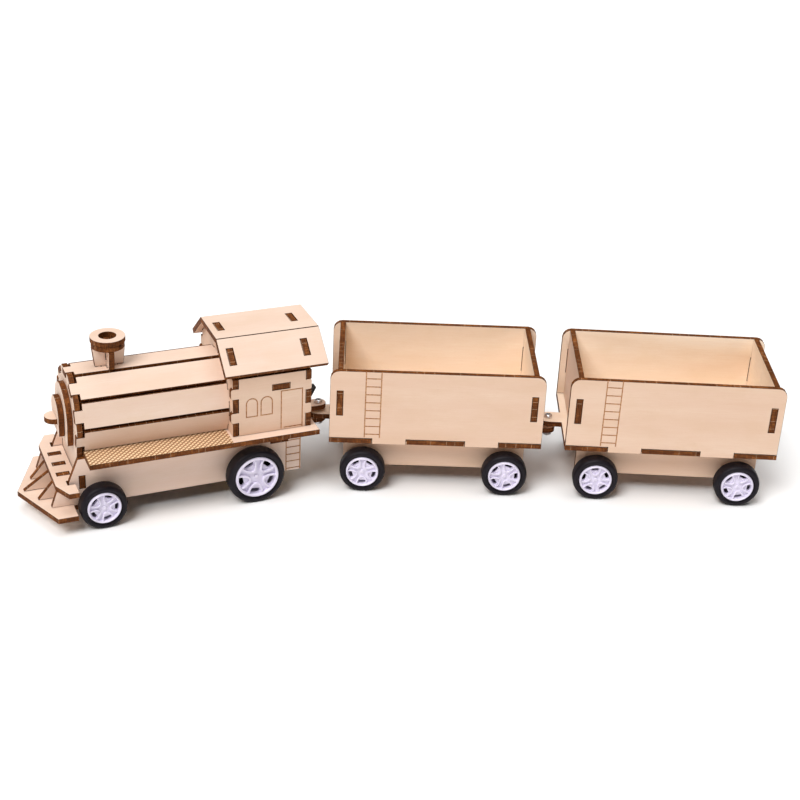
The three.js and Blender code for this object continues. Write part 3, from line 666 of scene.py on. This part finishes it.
def engrave_sheets(made):
    for wagon in WAGONS:
        for side, sign in SIDES:
            sheet = made[f"{wagon}_side_{side}"]
            engrave(sheet, wagon, ladder(-46.5, -36.6, 41.2, 88.6, 8, 43.3, 5.77, sign * WAGON_SIDE_Y))
            char_slots(sheet, wagon, sign)
    for side, sign in SIDES:
        engrave(made[f"cab_side_{side}"], "locomotive", cab_side_lines(sign * CAB_SIDE_Y))
        steps = ladder(23.8, 33.4, 13.0, 45.0, 6, 14.1, 5.27, sign * FRAME_SIDE_Y)
        engrave(made[f"frame_{side}"], "locomotive", steps)


def engrave_loco_details(made):
    """The joint between the two chimney rings, and the running board's slots under the boiler."""
    chimney_x, joint_z = -84.4, 110.7
    sink, reach, half = 10.1, 12.0, 0.3
    ring = lathe_bm([(sink, -half), (reach, -half), (reach, half), (sink, half)], 56)
    ring.transform(Matrix.Translation((chimney_x, 0, joint_z)) @ Matrix.Rotation(math.pi / 2, 4, "X"))
    engrave(made["chimney_cap"], "locomotive", painted(to_mesh("ring", ring), SCORCH_LINE))
    slots = [box_bm(-84.0, -68.0, y - 1.0, y + 1.0, 47.9, 50.0) for y in (-18.4, 18.4)]
    engrave(made["running_board"], "locomotive", painted(to_mesh("slots", join_bm(slots)), SCORCH_LINE))


def char_slots(obj, wagon, sign):
    """Char beside the end walls' tabs, which closes the play in a wagon side's two slots."""
    bm = bmesh.new()
    bm.from_mesh(obj.data)
    near, far = sorted((sign * 39.0, sign * 35.9))
    for x in (-64.92, -61.08, 61.08, 64.92):
        strip = box_bm(x - 0.12, x + 0.12, near, far, 56.7, 74.1)
        strip.transform(VEHICLES[wagon])
        for f in strip.faces:
            f.material_index = EDGE
        mesh = to_mesh("strip", strip)
        bm.from_mesh(mesh)
        bpy.data.meshes.remove(mesh)
    bm.to_mesh(obj.data)
    bm.free()


def make_cab_tie():
    """The cross tie whose ends show in the cab's side walls."""
    bm = box_bm(11.3, 23.0, -35.8, 35.8, 78.6, 82.1)
    bm.transform(VEHICLES["locomotive"])
    obj = plywood("cab_cross_tie", bm, "locomotive", 77)
    return hand_over(obj, "locomotive", "plywood")


sheets = make_sheets()
engrave_sheets(sheets)
engrave_loco_details(sheets)
sheets["running_board"].data.materials[FACE] = TREAD_PLATE
for node, obj in sheets.items():
    hand_over(obj, NODES[node]["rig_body"], "plywood", node)
make_cab_tie()


# ---- wheels -------------------------------------------------------------------------------

HUB_FACE = 40.6
TYRE_FACE = 40.0
TYRE_INNER = 30.0
SMALL_WHEEL = (15.0, 10.7)  # radius of the tyre, radius of the hub's lip
LARGE_WHEEL = (19.0, 14.3)
LOCO_FRONT_AXLE = -99.6     # from the rear axle
WAGON_AXLE = 47.0           # either way from the wagon's middle


def round_corner(cx, cy, r, start, end, steps=5):
    return [(cx + r * math.cos(math.radians(start + (end - start) * i / steps)),
             cy + r * math.sin(math.radians(start + (end - start) * i / steps))) for i in range(steps + 1)]


def tyre_bm(radius, lip):
    """Rubber tyre with rounded shoulders and fine ribs across its tread; outer side to -Y."""
    soft = 2.2
    profile = [
        (lip + 0.02, -TYRE_INNER - 0.6), (lip + 0.6, -TYRE_INNER),
        *round_corner(radius - soft, -TYRE_INNER - soft, soft, 90, 0),
        *round_corner(radius - soft, -TYRE_FACE + soft, soft, 0, -90),
        (lip + 1.6, -TYRE_FACE + 0.1), (lip + 0.9, -TYRE_FACE + 0.5), (lip + 0.02, -TYRE_FACE + 1.0),
    ]
    ribs = 2 * round(radius * 5)

    def ripple(r, y, step):
        return r - (0.16 if step % 2 and r > radius - 0.9 else 0.0)

    return lathe_bm(profile, ribs, ripple)


def rim_bm(lip):
    """The hub's barrel with its rounded outer lip."""
    wall = 1.1 * lip / 11.07
    return lathe_bm([
        (lip, -TYRE_INNER - 0.2), (lip, -HUB_FACE + 0.8), (lip - 0.25, -HUB_FACE + 0.25),
        (lip - 0.6, -HUB_FACE), (lip - wall, -HUB_FACE + 0.15), (lip - wall - 0.35, -HUB_FACE + 0.6),
        (lip - wall - 0.5, -HUB_FACE + 2.4), (lip - 1.6, -HUB_FACE + 4.4), (lip - 1.6, -TYRE_INNER - 0.2),
    ], 72)


def flat_solid(outer, holes, y0, y1, soften):
    """Outline in X and Z with holes, solid between y0 and y1, its rims softened."""
    curve = bpy.data.curves.new("outline", "CURVE")
    curve.dimensions = "2D"
    curve.fill_mode = "BOTH"
    for points in (outer, *holes):
        spline = curve.splines.new("POLY")
        spline.points.add(len(points) - 1)
        for p, (x, z) in zip(spline.points, points):
            p.co = (x, z, 0, 1)
        spline.use_cyclic_u = True
    curve.extrude = (y1 - y0) / 2 - soften
    curve.bevel_depth = soften
    curve.bevel_resolution = 1
    curve.offset = -soften
    obj = link("outline", curve)
    graph = bpy.context.evaluated_depsgraph_get()
    mesh = bpy.data.meshes.new_from_object(obj.evaluated_get(graph), depsgraph=graph)
    drop(obj)
    mesh.transform(Matrix.Translation((0, (y0 + y1) / 2, 0)) @ Matrix.Rotation(math.pi / 2, 4, "X"))
    bm = bmesh.new()
    bm.from_mesh(mesh)
    bpy.data.meshes.remove(mesh)
    bmesh.ops.remove_doubles(bm, verts=bm.verts, dist=1e-5)
    bmesh.ops.recalc_face_normals(bm, faces=bm.faces)
    return bm


def polar(r, degrees):
    a = math.radians(degrees)
    return (r * math.cos(a), r * math.sin(a))


def window(lip, middle):
    """One rounded window near the rim."""
    corners = []
    for r, spread in ((0.83, 15), (0.845, 7), (0.85, 0), (0.845, -7), (0.83, -15), (0.75, -18),
                      (0.66, -16), (0.63, -8), (0.63, 0), (0.63, 8), (0.66, 16), (0.75, 18)):
        corners.append(polar(r * lip, middle + spread))
    return corners


def window_border(lip):
    """Raised U-shaped border round one window, open towards the rim, for the window at 0 degrees."""
    half = [polar(r * lip, spread) for r, spread in (
        (0.90, 21.5), (0.74, 24), (0.60, 24), (0.47, 21), (0.37, 13), (0.34, 0))]
    centre = half + [(x, -z) for x, z in reversed(half[:-1])]
    width = 0.085 * lip
    left, right = [], []
    for i, (x, z) in enumerate(centre):
        a = centre[max(i - 1, 0)]
        b = centre[min(i + 1, len(centre) - 1)]
        t = Vector((b[0] - a[0], b[1] - a[1])).normalized()
        left.append((x - t.y * width / 2, z + t.x * width / 2))
        right.append((x + t.y * width / 2, z - t.x * width / 2))
    return left + right[::-1]


def wheel_meshes(radius, lip, phase):
    """Hub and tyre of one wheel, outer side to -Y, windows starting at this angle, in millimetres.

    The tyre's mesh also holds a dark ring that closes the barrel behind the windows: painted shade, standing
    in for the shade inside the hollow hub.
    """
    web_face = -HUB_FACE + 2.0 * lip / 11.07
    disc = [polar(lip - 1.1, 360 * i / 72) for i in range(72)]
    web = flat_solid(disc, [window(lip, phase + 72 * k) for k in range(5)], web_face, web_face + 1.8, 0.18)
    border = flat_solid(window_border(lip), [], -HUB_FACE + 0.7, web_face + 0.5, 0.2)
    borders = copies_of(border, RING_TREE, HUB_WHITE, Count=5, Phase=-math.radians(phase))
    boss = lathe_bm([(0.01, web_face - 0.9), (1.0, web_face - 0.9), (1.45, web_face - 0.5),
                     (1.5, web_face + 0.4), (0.01, web_face + 0.4)], 24)
    sleeve = lathe_bm([(1.05, -TYRE_INNER), (2.9, -TYRE_INNER),
                       (3.1, web_face + 1.5), (1.05, web_face + 1.5)], 28)
    hub = join_bm([rim_bm(lip), web, boss, sleeve])
    hub.from_mesh(borders)
    bpy.data.meshes.remove(borders)
    mesh = painted(to_mesh("hub", hub), HUB_WHITE)
    for polygon in mesh.polygons:
        polygon.material_index = 0
    sharpen(mesh, 38)
    # A black ring behind the windows: painted shade for the dark hollow of the hub.
    shade_ring = lathe_bm([(3.2, -TYRE_INNER - 1.2), (lip - 1.7, -TYRE_INNER - 1.2),
                        (lip - 1.7, -TYRE_INNER - 0.2), (3.2, -TYRE_INNER - 0.2)], 48)
    tyre = painted(to_mesh("tyre", join_bm([tyre_bm(radius, lip), shade_ring])), RUBBER)
    return mesh, tyre


def axle_bm():
    return lathe_bm([(0.01, -37.0), (0.75, -37.0), (1.0, -36.7), (1.0, 36.7), (0.75, 37.0), (0.01, 37.0)], 20)


def place_wheels(vehicle, body, node, x, radius, lip, phase):
    hub, tyre = wheel_meshes(radius, lip, phase)
    at = VEHICLES[vehicle] @ Matrix.Translation((x, 0, radius))
    for side, turn in (("left", Matrix.Identity(4)), ("right", Matrix.Rotation(math.pi, 4, "Z"))):
        for word, mesh, slot in (("hub", hub, "hub_plastic"), ("tyre", tyre, "tyre_rubber")):
            copy = mesh.copy()
            copy.transform(at @ turn)
            hand_over(link(f"{node}_{word}_{side}", copy), body, slot, node)
    axle = to_mesh("axle", axle_bm())
    axle.transform(at)
    hand_over(link(f"{node}_axle", painted(axle, STEEL)), body, "steel", node)


place_wheels("locomotive", "loco_front_wheels", "wheelset_front", LOCO_FRONT_AXLE, *SMALL_WHEEL, -4)
place_wheels("locomotive", "loco_rear_wheels", "wheelset_rear", 0.0, *LARGE_WHEEL, -24)
for wagon, end, x, phase in (
        ("wagon_1", "front", -WAGON_AXLE, -18), ("wagon_1", "rear", WAGON_AXLE, 0),
        ("wagon_2", "front", -WAGON_AXLE, 25), ("wagon_2", "rear", WAGON_AXLE, -5)):
    place_wheels(wagon, f"{wagon}_{end}_wheels", f"{wagon}_wheelset_{end}", x, *SMALL_WHEEL, phase)


# ---- coupling screws ------------------------------------------------------------------------

def screw_mesh(z_low, z_high):
    """Pan-head cross-slot screw and its nut, about the Z axis, in the vehicle's millimetres."""
    head, rise, stem_radius = 2.7, 1.8, 1.45
    dome = [(head, z_high), (head, z_high + 0.9), (head - 0.35, z_high + 1.45),
            (head - 1.1, z_high + rise), (0.01, z_high + rise), (0.01, z_high)]
    shank = [(stem_radius, z_low - 3.4), (stem_radius, z_high + 0.4), (0.01, z_high + 0.4),
             (0.01, z_low - 3.8), (1.1, z_low - 3.8)]
    upright = Matrix.Rotation(math.pi / 2, 4, "X")
    top = lathe_bm(dome, 40)
    stem = lathe_bm(shank, 24)
    for part in (top, stem):
        part.transform(upright)
    nut = bmesh.new()
    bmesh.ops.create_cone(nut, cap_ends=True, segments=6, radius1=3.1, radius2=3.1, depth=2.4,
                          matrix=Matrix.Translation((0, 0, z_low - 1.6)))
    bmesh.ops.bevel(nut, geom=[e for e in nut.edges if abs(e.verts[0].co.z - e.verts[1].co.z) < 1e-4],
                    offset=0.3, segments=2, affect="EDGES")
    obj = link("screw_head", to_mesh("screw_head", top))
    arm, half = 1.9, 0.38
    bars = [box_bm(-x, x, -y, y, z_high + 0.95, z_high + 3) for x, y in ((arm, half), (half, arm))]
    cutter = link("cross_slot", to_mesh("cross_slot", join_bm(bars)))
    carve(obj, cutter)
    whole = join_bm([stem, nut])
    whole.from_mesh(obj.data)
    drop(obj, cutter)
    mesh = painted(to_mesh("screw", whole), STEEL)
    sharpen(mesh, 35)
    return mesh


def place_screw(node, vehicle, x, z_low, z_high):
    mesh = screw_mesh(z_low, z_high)
    mesh.transform(VEHICLES[vehicle] @ Matrix.Translation((x, 0, 0)))
    hand_over(link(f"{node}_screw", mesh), NODES[node]["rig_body"], "steel", node)


place_screw("coupling_bolt_1", "locomotive", 55.7, 32.4, 45.4)
place_screw("coupling_bolt_2", "wagon_1", 77.9, 29.8, 40.1)


# ---- moulded pieces ---------------------------------------------------------------------------

def moulded(node, material, soften, segments=2):
    """A node's shape with rounded rims."""
    obj = link(f"{node}_moulded", to_mesh(node, merged(node)))
    painted(obj.data, material)
    modifier = obj.modifiers.new("soften", "BEVEL")
    modifier.width = soften * MM
    modifier.segments = segments
    modifier.limit_method = "ANGLE"
    modifier.angle_limit = math.radians(35)
    settle(obj)
    sharpen(obj.data, 40)
    slot = "yellow_plastic" if material is YELLOW_PLASTIC else "black_plastic"
    return hand_over(obj, NODES[node]["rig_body"], slot, node)


moulded("switch_body", BLACK_PLASTIC, 0.35)
moulded("switch_rocker", BLACK_PLASTIC, 0.4, 3)
moulded("gear_motor", YELLOW_PLASTIC, 0.6)
moulded("battery_box", BLACK_PLASTIC, 0.8)


# ---- camera, floor and light --------------------------------------------------------------------

def aim(position, yaw, down, roll):
    """Camera matrix from a heading off +Y, an angle below the horizon and a roll, in radians."""
    forward = Vector((math.sin(yaw) * math.cos(down), math.cos(yaw) * math.cos(down), -math.sin(down)))
    right = Vector((math.cos(yaw), -math.sin(yaw), 0))
    up = right.cross(forward)
    x = math.cos(roll) * right + math.sin(roll) * up
    y = -math.sin(roll) * right + math.cos(roll) * up
    turn = Matrix((x, y, -forward)).transposed().to_4x4()
    return Matrix.Translation(position) @ turn


def add_camera():
    data = bpy.data.cameras.new("camera")
    data.sensor_width = 36.0
    data.lens = 68.12
    data.clip_start = 0.01
    camera = bpy.data.objects.new("camera", data)
    bpy.context.scene.collection.objects.link(camera)
    wagon = middle_of("wagon_1")
    offset = Vector((-0.05374, -0.90267, 0.52004))
    camera.matrix_world = aim(Vector((wagon.x, wagon.y, 0)) + offset, 0.034, 0.481, 0.050)
    bpy.context.scene.camera = camera


def add_floor():
    bm = bmesh.new()
    bmesh.ops.create_grid(bm, x_segments=1, y_segments=1, size=6.0)
    floor = link("floor", to_mesh("floor", bm))
    s = Shader("studio_floor")
    s.set(Base_Color=rgb(0.93, 0.93, 0.93), Roughness=0.9)
    s.surface.inputs["Specular IOR Level"].default_value = 0.0
    floor.data.materials.append(s.material)


def add_sun(name, toward_light, spread, strength, color=(1, 1, 1)):
    """Broad soft light from a direction, the same all over the floor."""
    data = bpy.data.lights.new(name, "SUN")
    data.angle = math.radians(spread)
    data.energy = strength
    data.color = color
    light = bpy.data.objects.new(name, data)
    light.rotation_euler = Vector(toward_light).to_track_quat("Z", "Y").to_euler()
    bpy.context.scene.collection.objects.link(light)


def add_sky(strength):
    world = bpy.data.worlds.new("studio")
    world.use_nodes = True
    background = world.node_tree.nodes["Background"]
    background.inputs["Color"].default_value = (1.0, 1.0, 1.0, 1.0)
    background.inputs["Strength"].default_value = strength
    bpy.context.scene.world = world


add_camera()
add_floor()
add_sky(0.12)
add_sun("key_light", (-0.42, -0.58, 1.0), 30, 2.5, (1.0, 0.99, 0.98))
add_sun("overhead_light", (0.10, 0.12, 1.0), 52, 1.7)
bpy.context.scene.view_settings.view_transform = "Standard"
